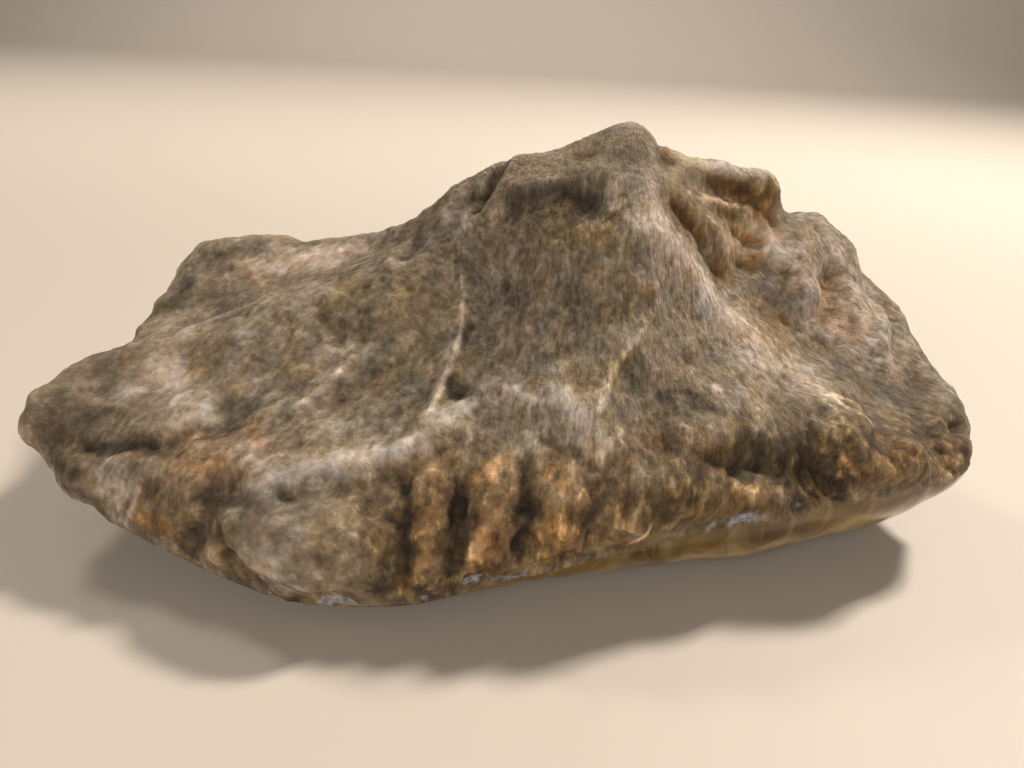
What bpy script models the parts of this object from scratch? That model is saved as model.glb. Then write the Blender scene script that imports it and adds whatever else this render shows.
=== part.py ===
"""Fossil coral: one weathered colony, rough all over, with its convex underside ground and polished.

The stone lies on the polished side. X runs along its length, from the low tongue on the left to the
blunt right end, +Y is its back and +Z is up. Sizes are in millimetres until the mesh is made.
"""

import bpy
import numpy as np
from mathutils import Vector, noise

MM = 0.001

# The skin is spanned by rails that all run from the left tip to the right tip: from the front rim,
# over the top, to the back rim. Every rail is a smooth curve through its own knots (x, y, z).
LEFT_TIP = (-57.2, -7.0, 16.5)
RIGHT_TIP = (60.2, 4.0, 16.0)
FRONT_RIM = [(-55.6, -9, 13), (-52, -11.5, 9), (-46.5, -14, 7), (-40, -16, 5.5), (-33, -19, 4),
             (-28, -20.5, 3), (-21, -22, 2.5), (-14, -22, 2.5), (-7, -20.5, 3), (-1, -19, 4.5),
             (6, -18, 6), (13.5, -17, 8.5), (21.5, -15.5, 10), (29, -14, 11), (39, -10.5, 12),
             (48, -8, 13), (56.5, -3.5, 13), (58.3, -1.5, 13)]
FRONT_BAND = [(-56, -9.5, 14.5), (-51, -12.5, 11), (-40, -16.5, 10), (-33, -20, 10), (-27, -22.5, 10),
              (-19, -24, 9.5), (-11, -22, 11), (-3.5, -20.5, 12), (4.5, -20, 14.5), (12, -19, 16),
              (21, -16, 17.5), (28, -13.5, 17.5), (36.5, -10, 17), (47, -7, 16), (56, -3, 15),
              (59.2, 0, 14.5)]
LEDGE = [(-56.2, -9, 17), (-52.5, -10.5, 15.5), (-45.5, -13, 15), (-38.5, -14.5, 15), (-28.5, -17, 15),
         (-22.5, -16, 16.5), (-16, -14.5, 17.5), (-10, -13, 19), (-4, -12, 21.5), (2, -12, 23),
         (8, -12.5, 22.5), (14, -11, 22.5), (21.5, -8.5, 23), (29, -6, 23), (37, -4, 21.5),
         (43, -4.5, 18.5), (49, -3.5, 17), (56, -1, 17), (59.2, 1, 16)]
SLOPE = [(-56.2, -8, 18.1), (-48, -4.5, 17), (-37.5, -4.5, 18.5), (-29, -4, 20.5), (-20.5, -3, 23.5),
         (-13.5, -2, 26), (-6.5, -1.5, 28.5), (0.5, -3, 32), (5, -4, 34), (11.5, -4, 33),
         (19, -1, 31), (25, 1, 27.5), (33, 0.5, 24), (42, 1, 21), (50, 3, 20), (57, 2, 19), (59.2, 3, 17.5)]
BROW = [(-56.2, -6.5, 18.6), (-53.5, -3.5, 19.5), (-49, 1, 21), (-44, 3.5, 22), (-37.5, 3.5, 24),
        (-32.5, 5, 26), (-27.5, 6, 28), (-22.5, 7, 30), (-17.5, 8, 32.5), (-10, 9, 36.5),
        (-5, 8, 40), (-0.5, 6, 43.5), (4, 4, 44.5), (9, 4, 45), (13.5, 5, 45.5), (18.5, 7, 43),
        (24, 9, 40), (31, 9, 34.5), (40, 9, 29), (50, 9, 25), (57, 6.5, 21), (59.2, 5, 18.5)]
CREST = [(-55.8, -4.5, 18.5), (-54, 4, 18.5), (-50, 10, 19), (-44, 14, 21), (-36, 15, 24.5),
         (-28, 16, 27.5), (-20, 15.5, 30.5), (-15.5, 15, 33.5), (-9, 14, 40), (-4.5, 13.5, 43.5),
         (2.5, 12.5, 46), (8, 11, 48), (12, 10.5, 49.8), (16.5, 12.5, 48), (21, 14, 46.5),
         (27, 15, 45), (32, 16, 44), (34.5, 17.5, 39.5), (40, 19.5, 38.2), (45.5, 20, 35.5),
         (48, 20, 31), (52.5, 18, 28), (55, 15.5, 24), (57.4, 11, 20.8), (59, 7.5, 19)]
SHOULDER = [(-55.3, -1, 17.3), (-54.3, 6, 17), (-53.5, 12, 17.5), (-52.5, 20, 20), (-52, 25, 23),
            (-49.5, 29, 26), (-43, 30, 27.5), (-34, 30.5, 28), (-26.5, 28.5, 29.3), (-20, 26, 28.5),
            (-12, 24.5, 31.5), (-4, 24, 38), (6, 24, 41), (16, 25, 42), (26, 26, 40), (36, 27, 35),
            (44, 26, 30), (50, 23, 26), (55, 18, 21.5), (58.5, 12, 18.5), (59.2, 8, 17.5)]
BACK = [(-56, -3, 15.5), (-54.8, 10, 14.5), (-53.5, 22, 16), (-51, 30, 18.5), (-44, 36, 20),
        (-34, 38.5, 21), (-22, 39.5, 22), (-8, 39.5, 24), (6, 39, 27), (18, 38, 28), (28, 36, 27),
        (37, 33, 25), (45, 29.5, 21.5), (52, 24, 18), (57.5, 15, 16), (59.2, 8.5, 15.5)]
BACK_RIM = [(-56, -5, 12.5), (-54.5, 9, 11), (-53, 20, 9.5), (-49.5, 30, 8), (-42, 37, 6.5),
            (-32, 40.5, 5), (-18, 42, 4.5), (-3, 42, 4.5), (10, 41, 5), (22, 39, 6), (33, 35.5, 7.5),
            (43, 31, 9), (51, 25, 10.5), (56.5, 15.5, 11.5), (58.8, 7.5, 13)]
RAILS = (FRONT_RIM, FRONT_BAND, LEDGE, SLOPE, BROW, CREST, SHOULDER, BACK, BACK_RIM)

# The underside is flat between these ends of the keel, so that the stone rests there, and lifts
# from there towards both tips and, a little, towards both rims, where it rolls up steeply.
KEEL_FROM = -22.0
KEEL_TO = 28.0
TIP_RUN = 34.0
TIP_LIFT = 11.0
TIP_POWER = 2.2
FLAT_SHARE = 0.3  # share of the breadth that is flat
SIDE_LIFT = 1.2
FRONT_ROLL = 11.0  # breadth over which the underside rolls up to the front rim
BACK_ROLL = 20.0

RINGS = 168
ROWS_ON_TOP = 112
ROWS_BELOW = 40
FINAL_TRIANGLES = 9400

# Forms that stand out or sink in on the rough side, each as the knots (x, y, z) of its middle line,
# its reach to either side and its height. A height below zero is a hollow.
SUMMIT = [
    ([(-1.5, 4, 40.5), (2, 3, 42.5), (5.5, 2.5, 43), (9.5, 2.5, 42.5)], 2.3, -1.7),  # hollow under the brow
    ([(-2, 5, 43.5), (3, 3.5, 46), (9, 3.5, 46)], 2.2, 0.7),  # brow over it
    ([(8.5, 8.5, 49), (14.5, 10, 49.5)], 3.2, 1.0),  # blunt top
    ([(-1.5, 12, 45)], 3.2, 1.2),
    ([(-6, 9.5, 40), (-4.5, 10.5, 42), (-3, 12, 44)], 1.5, -1.0),
    ([(-14, 6.5, 33), (-12.5, 11, 36)], 1.6, -0.9),
    ([(17, 8.5, 47), (18.5, 12, 47)], 1.8, -1.3),
    ([(20, 12.5, 47.5)], 2.0, 0.7),
]
RUSTY_BLOCK = [
    ([(16, 4.5, 42.5), (20, 6, 40), (22.5, 6.5, 37.5), (24.5, 6, 34.5)], 1.5, -0.6),  # slot
    ([(20, 7.5, 42), (23.5, 8, 39), (25.5, 7.5, 36)], 1.4, 0.6),
    ([(27, 10, 39), (28.5, 9.5, 37), (28, 8, 35)], 2.8, -1.1),  # pit
    ([(25, 11.5, 43), (28.5, 12.5, 42), (31.5, 13.5, 39.5)], 1.6, -1.2),  # undercut
    ([(21.5, 12, 45.5), (26, 13.5, 45), (31, 15, 43.5)], 2.2, 1.0),
]
RIGHT_FLANK = [
    ([(29.5, 6.5, 32.5), (34, 5.5, 28), (40, 5, 25)], 4.0, -1.0),
    ([(36.5, 13, 36), (37, 10, 32)], 3.2, 1.3),
    ([(44.5, 14, 31), (45, 10, 28)], 3.2, 1.2),
    ([(48.5, 11, 26)], 3.0, 1.0),
    ([(41, 13, 33), (41, 9, 29)], 1.8, -1.1),
    ([(51, 13, 27.5), (50, 8, 24)], 1.8, -1.1),
    ([(40, 19, 39)], 3.5, 1.2),
    ([(60.5, 3, 18.5), (58.5, 0.5, 18.2), (56, -0.5, 18)], 1.3, -1.6),
    ([(58, -2, 16.3)], 1.5, 0.9),
    ([(60, 6, 20.5)], 2.0, 0.9),
]
RIDGES = [
    ([(13.5, 2.5, 43), (16.5, 2, 39.5), (20.5, 2.5, 35), (24.5, 2.5, 30), (32, 1.5, 25.5), (40, 0, 21.5)],
     4.2, 1.1),
    ([(-7, 2.5, 33), (-6.5, -1, 30), (-6.5, -5, 26.5), (-8.5, -9, 23), (-9.5, -12, 20)], 1.5, 1.1),
    ([(15, -1.5, 35), (15, -4, 32), (12.5, -7, 29), (10.5, -9, 26.5), (10, -11, 24.5)], 1.8, 0.7),
    ([(-26, -17.5, 16), (-17, -15.5, 17.5), (-10, -14, 19.5), (-6.5, -12, 21.5)], 2.2, 0.7),  # ledge's lip
    ([(6, -12, 24.5), (10, -13, 22.5), (12, -15, 20.5)], 2.6, 1.2),
    ([(-27.5, -8.5, 19), (-25, -8, 20), (-20, -4.5, 22.5)], 1.6, 0.7),
]
FRONT_FACE = [
    ([(-4, 0, 33), (-1, -4, 30)], 5.5, -1.4),
    ([(6, -4, 33), (5, -9, 28)], 4.5, -0.6),
    ([(-6, -8.5, 23.5)], 1.8, -1.4),
    ([(-23, 1, 26)], 4.0, -1.0),
    ([(-15, -3, 25), (-20, -8, 21)], 5.5, -1.0),
]
TONGUE = [
    ([(-51, -11, 15), (-46, -13, 15.5), (-40, -13, 16), (-35, -10.5, 17.5), (-32, -7.5, 18.5)], 2.2, -1.2),
    ([(-45, -13, 15.5), (-39, -12.5, 16)], 1.4, -0.6),
    ([(-46, -5, 18), (-38, -6, 18.5)], 4.5, 1.3),
    ([(-40, 12, 23)], 2.0, -1.4),
    ([(-50, -2, 19.5)], 2.2, -0.9),
    ([(-52, 19.5, 21)], 2.4, 1.0),
    ([(-52.5, 17, 20.5)], 1.2, -0.9),
    ([(-52.5, 14, 18.5)], 1.6, 0.6),
    ([(-51.5, 22.5, 22.5)], 1.6, -1.2),
    ([(-46, 27, 27)], 5.0, 0.5),
    ([(-33, 29, 29)], 1.8, -0.8),
]
LOWER_BAND = [
    ([(-30.5, -18, 14), (-32.5, -20, 11), (-35, -19, 6.5)], 2.3, -1.6),  # gully
    ([(-31.5, -21, 7)], 2.4, 1.2),
    ([(-28, -22, 7.5), (-24.5, -22, 3.5)], 1.7, -1.3),
    ([(-22, -23, 11), (-16.5, -23.5, 10)], 5.5, 1.3),  # pale block
    ([(-23, -18.5, 14.5)], 1.6, -0.6),
    ([(-19, -17.5, 15.5)], 1.5, -0.6),
    ([(-12.5, -16.5, 16)], 1.6, -0.8),
    ([(-11, -17.5, 15), (-11, -22, 9)], 1.4, -1.2),
    ([(-8, -18, 16.5), (-8, -21.5, 5.5)], 2.6, 1.0),  # corallites seen from the side
    ([(-4.9, -19, 15), (-4.7, -21, 8)], 1.3, -1.0),
    ([(-1.5, -18, 18), (-1, -20, 6)], 2.6, 1.0),
    ([(2.4, -18.5, 17), (2.2, -20, 10)], 1.3, -1.0),
    ([(6, -19, 18), (6.5, -19.5, 9)], 2.6, 1.0),
    ([(10, -18.5, 17), (10, -18.5, 10)], 1.4, -0.9),
    ([(14, -17.5, 18.5)], 2.2, 0.9),
    ([(19.5, -17, 17.5)], 2.0, 0.8),
    ([(14.5, -18.5, 12.5)], 2.0, 0.8),
    ([(20, -17, 13)], 2.0, 0.9),
    ([(17, -14.5, 20.5)], 2.2, -1.0),
    ([(24, -14, 18.5), (29, -13, 18), (33.5, -11.5, 16.5), (37.5, -10.5, 14.5)], 3.0, -2.1),  # dark recess
    ([(34.5, -7, 20.5), (35.5, -9.5, 18), (38.5, -10, 14.5)], 1.6, -0.9),
    ([(40.5, -6.5, 19.5), (43.5, -8, 16.5), (48, -6.5, 16.5)], 4.4, 1.8),  # fanned lump
    ([(52, -4.5, 16)], 2.5, -0.9),
]
FAR_SIDE = [
    ([(-30, 39, 18), (-28, 40, 9)], 3.0, -1.6),
    ([(-12, 40, 20), (-9, 41, 8)], 4.5, 1.6),
    ([(4, 39, 24), (6, 40.5, 9)], 2.6, -1.8),
    ([(18, 37, 28)], 4.5, 1.6),
    ([(27, 36, 20), (29, 36, 10)], 2.6, -1.5),
    ([(40, 31, 18)], 4.5, 1.4),
    ([(-2, 31, 34)], 5.0, -1.8),
    ([(16, 30, 38)], 4.0, 1.4),
    ([(30, 29, 34)], 3.5, -1.5),
    ([(-45, 36, 14)], 4.0, 1.4),
    ([(-20, 33, 28)], 4.0, -1.5),
    ([(50, 25, 18)], 2.6, -1.3),
]
FORMS = SUMMIT + RUSTY_BLOCK + RIGHT_FLANK + RIDGES + FRONT_FACE + TONGUE + LOWER_BAND + FAR_SIDE

CHUNK_SIZE = 11.0  # width of the small blocks that the weathered skin is broken into
CHUNK_HEIGHT = 0.5
CHUNK_STEEPNESS = 2.2  # how steeply the blocks rise from the cracks between them
GRAIN_SIZE = 6.0
GRAIN_HEIGHT = 0.45
GRAIN_LAYERS = 3
FORM_SHARPNESS = 1.5  # how fast a form fades beyond its reach
BAND_GRAIN = 1.9  # how many times stronger it is on the broken band along each rim
BAND_ROWS = 34
RIM_ROWS = 4  # rows over which the relief fades out towards each rim
RIM_SHARE = 0.35

STONE = (0.17, 0.14, 0.105, 1.0)
ROUGHNESS = 0.85


def smooth_curve(knots, shares):
    """Points at the given shares of the length of a smooth curve through the knots."""
    knots = np.asarray(knots, float)
    along = np.concatenate([[0.0], np.cumsum(np.linalg.norm(np.diff(knots, axis=0), axis=1))])
    along /= along[-1]
    slopes = np.gradient(knots, along, axis=0)
    i = np.clip(np.searchsorted(along, shares, side="right") - 1, 0, len(along) - 2)
    step = (along[i + 1] - along[i])[:, None]
    t = (shares - along[i])[:, None] / step
    start = (1 + 2 * t) * (1 - t) ** 2 * knots[i] + t * (1 - t) ** 2 * step * slopes[i]
    end = t * t * (3 - 2 * t) * knots[i + 1] + t * t * (t - 1) * step * slopes[i + 1]
    return start + end


def quarter_round(t):
    """Height of a quarter ellipse, from 1 at its steep end, t = 0, to 0 where it lies flat, t = 1."""
    return 1 - np.sqrt(np.maximum(0.0, 1 - np.maximum(0.0, 1 - t) ** 2))


def underside(back, front):
    """Points from the back rim to the front rim, both left out, along the convex underside."""
    t = ((1 - np.cos(np.linspace(0.0, np.pi, ROWS_BELOW + 2))) / 2)[1:-1, None]
    points = back + (front - back) * t
    breadth = max(np.linalg.norm(front - back), 1e-6)
    x, t = points[:, 0], t[:, 0]
    beyond = np.maximum(0.0, np.maximum(KEEL_FROM - x, x - KEEL_TO)) / TIP_RUN
    keel = TIP_LIFT * beyond ** TIP_POWER
    keel += SIDE_LIFT * (np.maximum(0.0, abs(2 * t - 1) - FLAT_SHARE) / (1 - FLAT_SHARE)) ** 2
    keel = np.minimum(keel, min(front[2], back[2]))
    rise = (front[2] - keel) * quarter_round((1 - t) * breadth / min(FRONT_ROLL, 0.5 * breadth))
    rise += (back[2] - keel) * quarter_round(t * breadth / min(BACK_ROLL, 0.5 * breadth))
    points[:, 2] = keel + rise
    return points


def base_grid():
    """The smooth stone as rings of points from tip to tip."""
    shares = np.linspace(0.0, 1.0, RINGS + 2)[1:-1]
    rails = [smooth_curve([LEFT_TIP] + rail + [RIGHT_TIP], shares) for rail in RAILS]
    rows = np.linspace(0.0, 1.0, ROWS_ON_TOP)
    rings = []
    for corners in np.stack(rails, axis=1):
        top = smooth_curve(corners, rows)
        rings.append(np.vstack([top, underside(top[-1], top[0])]))
    return np.array(rings)


def rough_grid():
    """The rings with the relief on the rough side, and the underside drawn between their rims."""
    smooth = base_grid()
    top = smooth[:, :ROWS_ON_TOP]
    height = relief(top) * (RIM_SHARE + (1 - RIM_SHARE) * share_from_rim(RIM_ROWS))
    top = top + normals_of(smooth)[:, :ROWS_ON_TOP] * height[..., None]
    return np.array([np.vstack([row, underside(row[-1], row[0])]) for row in top])


def normals_of(grid):
    """Outward normals of the grid of rings."""
    along = np.gradient(grid, axis=0)
    around = np.roll(grid, -1, axis=1) - np.roll(grid, 1, axis=1)
    normals = np.cross(along, around)
    return normals / np.maximum(np.linalg.norm(normals, axis=2, keepdims=True), 1e-9)


def distance_to(line, points):
    """Distance of every point from a line through knots, or from its only knot."""
    line = np.asarray(line, float)
    nearest = np.linalg.norm(points - line[0], axis=-1)
    for a, b in zip(line, line[1:]):
        t = np.clip((points - a) @ (b - a) / ((b - a) @ (b - a)), 0.0, 1.0)
        nearest = np.minimum(nearest, np.linalg.norm(points - a - t[..., None] * (b - a), axis=-1))
    return nearest


def share_from_rim(rows):
    """For each row on top, 0 at either rim rising to 1 that many rows away from it."""
    row = np.arange(ROWS_ON_TOP)
    return np.clip(np.minimum(row, row[::-1]) / rows, 0.0, 1.0)


def weathering(point, strength):
    """Height of the small blocks and the coarse grain at a point."""
    near, next_near = noise.voronoi(Vector(point) / CHUNK_SIZE)[0][:2]
    blocks = min(1.0, CHUNK_STEEPNESS * (next_near - near)) - 0.5
    grain = noise.fractal(Vector(point) / GRAIN_SIZE, 1.0, 2.0, GRAIN_LAYERS)
    return strength * (CHUNK_HEIGHT * blocks + GRAIN_HEIGHT * grain)


def relief(points):
    """Height of the forms and the weathering over the smooth stone at each point."""
    strengths = 1 + (BAND_GRAIN - 1) * (1 - share_from_rim(BAND_ROWS))
    height = np.array([[weathering(p, s) for p, s in zip(row, strengths)] for row in points])
    for line, reach, rise in FORMS:
        height += rise * np.exp(-FORM_SHARPNESS * (distance_to(line, points) / reach) ** 2)
    return height


def build_mesh(grid):
    """A closed mesh of quads round the rings, with a fan of triangles at each tip."""
    rings, around = grid.shape[:2]
    points = [Vector(p) * MM for p in grid.reshape(-1, 3)]
    tips = [Vector(LEFT_TIP) * MM, Vector(RIGHT_TIP) * MM]
    faces = []
    for i in range(rings - 1):
        for j in range(around):
            k = (j + 1) % around
            faces.append((i * around + j, (i + 1) * around + j, (i + 1) * around + k, i * around + k))
    last = (rings - 1) * around
    for j in range(around):
        k = (j + 1) % around
        faces.append((len(points), j, k))
        faces.append((len(points) + 1, last + k, last + j))
    mesh = bpy.data.meshes.new("fossil_coral")
    mesh.from_pydata(points + tips, [], faces)
    return mesh


def thinned(coral):
    """The mesh with fewer faces, large where it is flat and small where it is rough."""
    thinner = coral.modifiers.new("Fewer faces", "DECIMATE")
    thinner.ratio = FINAL_TRIANGLES / sum(len(face.vertices) - 2 for face in coral.data.polygons)
    mesh = bpy.data.meshes.new_from_object(coral.evaluated_get(bpy.context.evaluated_depsgraph_get()))
    coral.modifiers.clear()
    return mesh


def stand_on_origin(mesh):
    """Moves the mesh so that it is centred over the origin and rests on the plane z = 0."""
    points = np.array([vertex.co for vertex in mesh.vertices])
    low, high = points.min(axis=0), points.max(axis=0)
    middle = (low + high) / 2
    for vertex in mesh.vertices:
        vertex.co -= Vector((middle[0], middle[1], low[2]))


def weathered_stone():
    """Grey-brown, dull stone."""
    material = bpy.data.materials.new("Weathered stone")
    material.use_nodes = True
    shader = material.node_tree.nodes["Principled BSDF"]
    shader.inputs["Base Color"].default_value = STONE
    shader.inputs["Roughness"].default_value = ROUGHNESS
    shader.inputs["Metallic"].default_value = 0.0
    material.diffuse_color = STONE
    return material


def main():
    for obj in list(bpy.data.objects):
        bpy.data.objects.remove(obj)
    coral = bpy.data.objects.new("fossil_coral", build_mesh(rough_grid()))
    bpy.context.scene.collection.objects.link(coral)
    coral.data = thinned(coral)
    stand_on_origin(coral.data)
    coral.data.shade_smooth()
    coral.data.materials.append(weathered_stone())


main()
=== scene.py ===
"""Looks of the fossil coral: a rough, ridged, weathered stone whose convex underside is ground and polished.

Places on the stone are given in millimetres, in the frame in which it was drawn. STONE_SHIFT takes the
part's own frame, which is centred over the origin, to that frame.
"""

import math

import bmesh
import bpy
import numpy as np
from mathutils import Matrix, Vector


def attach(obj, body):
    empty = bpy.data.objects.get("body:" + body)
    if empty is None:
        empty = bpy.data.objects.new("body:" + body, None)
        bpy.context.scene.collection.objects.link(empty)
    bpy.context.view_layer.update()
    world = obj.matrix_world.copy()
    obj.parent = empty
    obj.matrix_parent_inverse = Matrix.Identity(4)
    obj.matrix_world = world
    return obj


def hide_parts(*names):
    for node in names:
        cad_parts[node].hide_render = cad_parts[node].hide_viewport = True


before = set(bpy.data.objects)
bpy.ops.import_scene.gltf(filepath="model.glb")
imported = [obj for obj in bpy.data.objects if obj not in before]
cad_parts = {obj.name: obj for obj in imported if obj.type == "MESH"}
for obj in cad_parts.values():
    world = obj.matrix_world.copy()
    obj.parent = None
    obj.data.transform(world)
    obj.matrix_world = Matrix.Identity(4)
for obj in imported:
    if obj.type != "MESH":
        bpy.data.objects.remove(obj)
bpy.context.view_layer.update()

MM = 0.001
STONE_SHIFT = np.array([1.606, 9.019, 0.0])

# Skin of the rough side
SKIN_CELL = 0.515 * MM
SKIN_SMOOTHING = 5
FAN_CENTRE = (9.0, 15.0)  # fibres of the coral fan out from here, seen from above
FAN_SHIFT = 62.0  # how much further back their centre lies at the left end
FAN_SHIFT_WIDTH = 45.0  # how far left of their centre the shift is whole
FAN_REACH = 34.0  # this far from their centre, the fibres have their stated width
FAN_EYE = 10.0  # about its centre, the fan fades within this
FAN_ALONG = 0.3  # how fast the fibres change along their length

# Relief of the rough side, in millimetres: the inputs of its modifier.
WEATHERING = {
    "Fibre width": 1.5, "Fibre depth": 0.22, "Lump size": 4.6, "Lump height": 0.42, "Grain size": 1.4,
    "Grain depth": 0.18, "Pit spacing": 2.8, "Pit depth": 0.25, "Tooth width": 2.0, "Tooth height": 0.5,
}
NOISE_GAIN = 3.0  # noise seldom goes further than a third from its middle
RELIEF_ROUGHNESS = 0.55
PIT_GROUPS = 4.0  # how many pit spacings a group of pits is wide
PIT_GROUP_EDGE = (0.0, 0.12)
PIT_EDGE = (0.1, 0.45)
PIT_SOFTNESS = 0.3
TOOTH_STRETCH = 0.45  # the teeth of the earthy parts change this fast along Z
PLAIN_RELIEF = 0.85
EARTHY_RELIEF = 0.5

# How the marks on the stone begin and end
NEAR_LIMIT = 3  # so many reaches from a line, its share is nothing
RIM_EDGE = (-0.2, 0.4)  # from rough to polished, below the edge of the underside
# Random swell, and how the edges of what is drawn on the stone wander: how far, and over what size.
SWELL_WAVES = 10
SWELL_SPREAD = (0.7, 1.4)
SWELL_GAIN = 0.8
WANDER = [(0.55, 3.5), (0.25, 1.3)]
# How far points lie below their surroundings: rounds of averaging, and the lowest and highest value kept. By
# this depth the skin gets painted shade in its hollows and dips, and painted light on its ridges.
HOLLOWS = {"hollow_shading": (4, -0.4, 0.6), "dip_shading": (60, -1.2, 1.6)}

# Noise of the colours: its size in millimetres, detail and roughness.
NOISES = {
    "fibres": (0.9, 3.0, 0.6), "fine fibres": (0.4, 2.0, 0.6), "mottle": (3.0, 3.0, 0.6),
    "broad": (14.0, 1.0, 0.5), "specks": (0.8, 3.0, 0.65), "upright": (1.6, 3.0, 0.6),
    "ragged": (1.3, 3.0, 0.65), "veil": (9.0, 2.0, 0.6), "yellowish": (4.0, 3.0, 0.65),
    "reddish": (4.0, 2.0, 0.6), "greyish": (3.5, 3.0, 0.65),
}
# What of the fibres is left where the stone is lumpy.
LUMPY_FIBRES = {"fibres": 0.25, "fine fibres": 0.35}
UPRIGHT_STRETCH = 0.4
RAGGEDNESS = 1.6
PATCH_GAIN = 1.4

# Lightness of the rough skin, and how much each pattern or tone adds to it.
BASE_LIGHT = 0.44
LIGHTENING = {
    "mottle": 0.55, "fibres": 0.75, "fine fibres": 0.45, "specks": 0.5, "broad": 0.4, "pale": 0.3,
    # hollow and dip shading: painted shade in hollows, painted light on ridges
    "earthy": -0.17, "upright": 0.7, "hollow_shading": -0.7, "dip_shading": -0.1,
}
# Colours of the skin for some steps of lightness, as the eye sees them.
SKIN_COLOURS = {
    0.0: (50, 40, 29), 0.28: (96, 82, 64), 0.5: (134, 118, 97), 0.76: (179, 164, 149), 1.0: (214, 203, 192),
}
# How much darker the dark tone makes the skin, its painted shade included.
DARKENING = 0.6
# Clouds of a tint: where their noise is read from, and their soft edge.
CLOUDS = {
    "yellowish": ((0.31, 0.0, 0.0), (0.46, 0.64)), "reddish": ((0.0, 0.47, 0.0), (0.52, 0.7)),
    "greyish": ((0.0, 0.0, 0.73), (0.46, 0.64)),
}
PALE_WITHOUT_YELLOW = 0.6
# What each tint does to the skin's red, green and blue, and how strong it is.
TINTS = {
    "yellowish": ((1.04, 0.96, 0.64, 1.0), 0.6), "reddish": ((1.2, 0.94, 0.76, 1.0), 0.35),
    "greyish": ((0.86, 0.94, 1.05, 1.0), 0.75), "earthy": ((1.0, 0.88, 0.66, 1.0), 1.0),
    "olive": ((1.02, 0.93, 0.55, 1.0), 0.9), "pink": ((1.18, 1.03, 0.98, 1.0), 0.8),
    # the rust tint also colours the painted brown shade under the block's top edge
    "rust_and_shade": ((1.1, 0.8, 0.42, 1.0), 0.95),
}
# Upright flecks of the earthy parts: their soft edge, and how much lighter or darker they are.
PALE_FLECKS = ((0.05, 0.17), 1.0)
DARK_FLECKS = ((0.06, 0.18), 0.45)
DARK_WITHOUT_FLECKS = 0.7
VEIN_EDGE = (0.2, 1.0)
VEIN_GAIN = 0.7
CHIP_COLOURS = [(112, 108, 112), (176, 180, 194)]
CHIP_BLEND = (0.35, 0.65)
CHIP_EDGE = (0.3, 0.8)
CHIP_STRENGTH = 0.6
DULL = 0.72
DULL_SPECKS = 0.3
# The fine relief that only shades the skin: shares of its patterns, and its depth.
BUMPS = {"fibres": 0.55, "fine fibres": 0.3, "specks": 0.55}
BUMP_STRENGTH = 0.6
BUMP_DEPTH = 0.5 * MM

# Polished underside
CORAL_CELL = 6.4
CELL_UNEVEN = 0.75
CELL_BEND = 1.4 * MM
CELL_BEND_SCALE = 150.0
SEPTA = 22
SEPTA_EDGE = (0.1, 0.9)
SEPTA_START = (0.08, 0.3)
WALL_EDGE = (0.02, 0.12)
CORE_EDGE = (0.06, 0.16)
CUT_COLOURS = [(74, 52, 10), (110, 83, 24)]
CUT_BLEND = (0.3, 0.7)
# Marks on the cut face: their colour and strength. The streak is a painted reflection of the floor along the
# polished strip.
CUT_MARKS = {
    "septa": ((150, 128, 86), 0.16), "walls": ((160, 138, 96), 0.25), "core": ((66, 48, 30), 0.3),
    "streak": ((188, 160, 112), 0.7),
}
CUT_ROUGHNESS = 0.2
COAT = 0.4
COAT_ROUGHNESS = 0.08

# Floor and lights, in metres
FLOOR_COLOUR = (0.6, 0.53, 0.45, 1.0)
FLOOR_ROUGHNESS = 0.6
FLOOR_FRONT, FLOOR_BACK, FLOOR_WIDTH = -1.5, 1.2, 4.0
WALL_HEIGHT = 1.0
BEND = 0.35
BEND_STEPS = 12
STONE_MIDDLE = (0.0, 0.0, 0.02)
WARM = (1.0, 0.93, 0.84)
SOFT = (1.0, 0.95, 0.9)
ROOM_COLOUR = (1.0, 0.94, 0.87, 1.0)
ROOM_LIGHT = 0.15

# Camera, as the photograph was taken: close by, looking down, a little askew. Its place is in millimetres.
CAMERA_PLACE = (0.0, -90.0, 62.0)
LOOK_DOWN = 25.0
LEAN = 3.3
FOCAL_PIXELS = 800.0
PICTURE_WIDTH = 1024
FILM_WIDTH = 36.0
NEAREST = 0.005

# The edge between the rough side and the polished underside.
FRONT_RIM = [
    (-57, -7, 15), (-52, -11.5, 9), (-46.5, -14, 7), (-40, -16, 5.5), (-33, -19, 4), (-28, -20.5, 3),
    (-21, -22, 2.5), (-14, -22, 2.5), (-7, -20.5, 3), (-1, -19, 4.5), (6, -18, 6), (13.5, -17, 8.5),
    (21.5, -15.5, 10), (29, -14, 11), (39, -10.5, 12), (48, -8, 13), (56.5, -3.5, 13), (60, 3, 13.5),
]
BACK_RIM = [
    (-57, -6, 13), (-54.5, 9, 11), (-53, 20, 9.5), (-49.5, 30, 8), (-42, 37, 6.5), (-32, 40.5, 5),
    (-18, 42, 4.5), (-3, 42, 4.5), (10, 41, 5), (22, 39, 6), (33, 35.5, 7.5), (43, 31, 9), (51, 25, 10.5),
    (56.5, 15.5, 11.5), (60, 5, 13.5),
]

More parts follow.
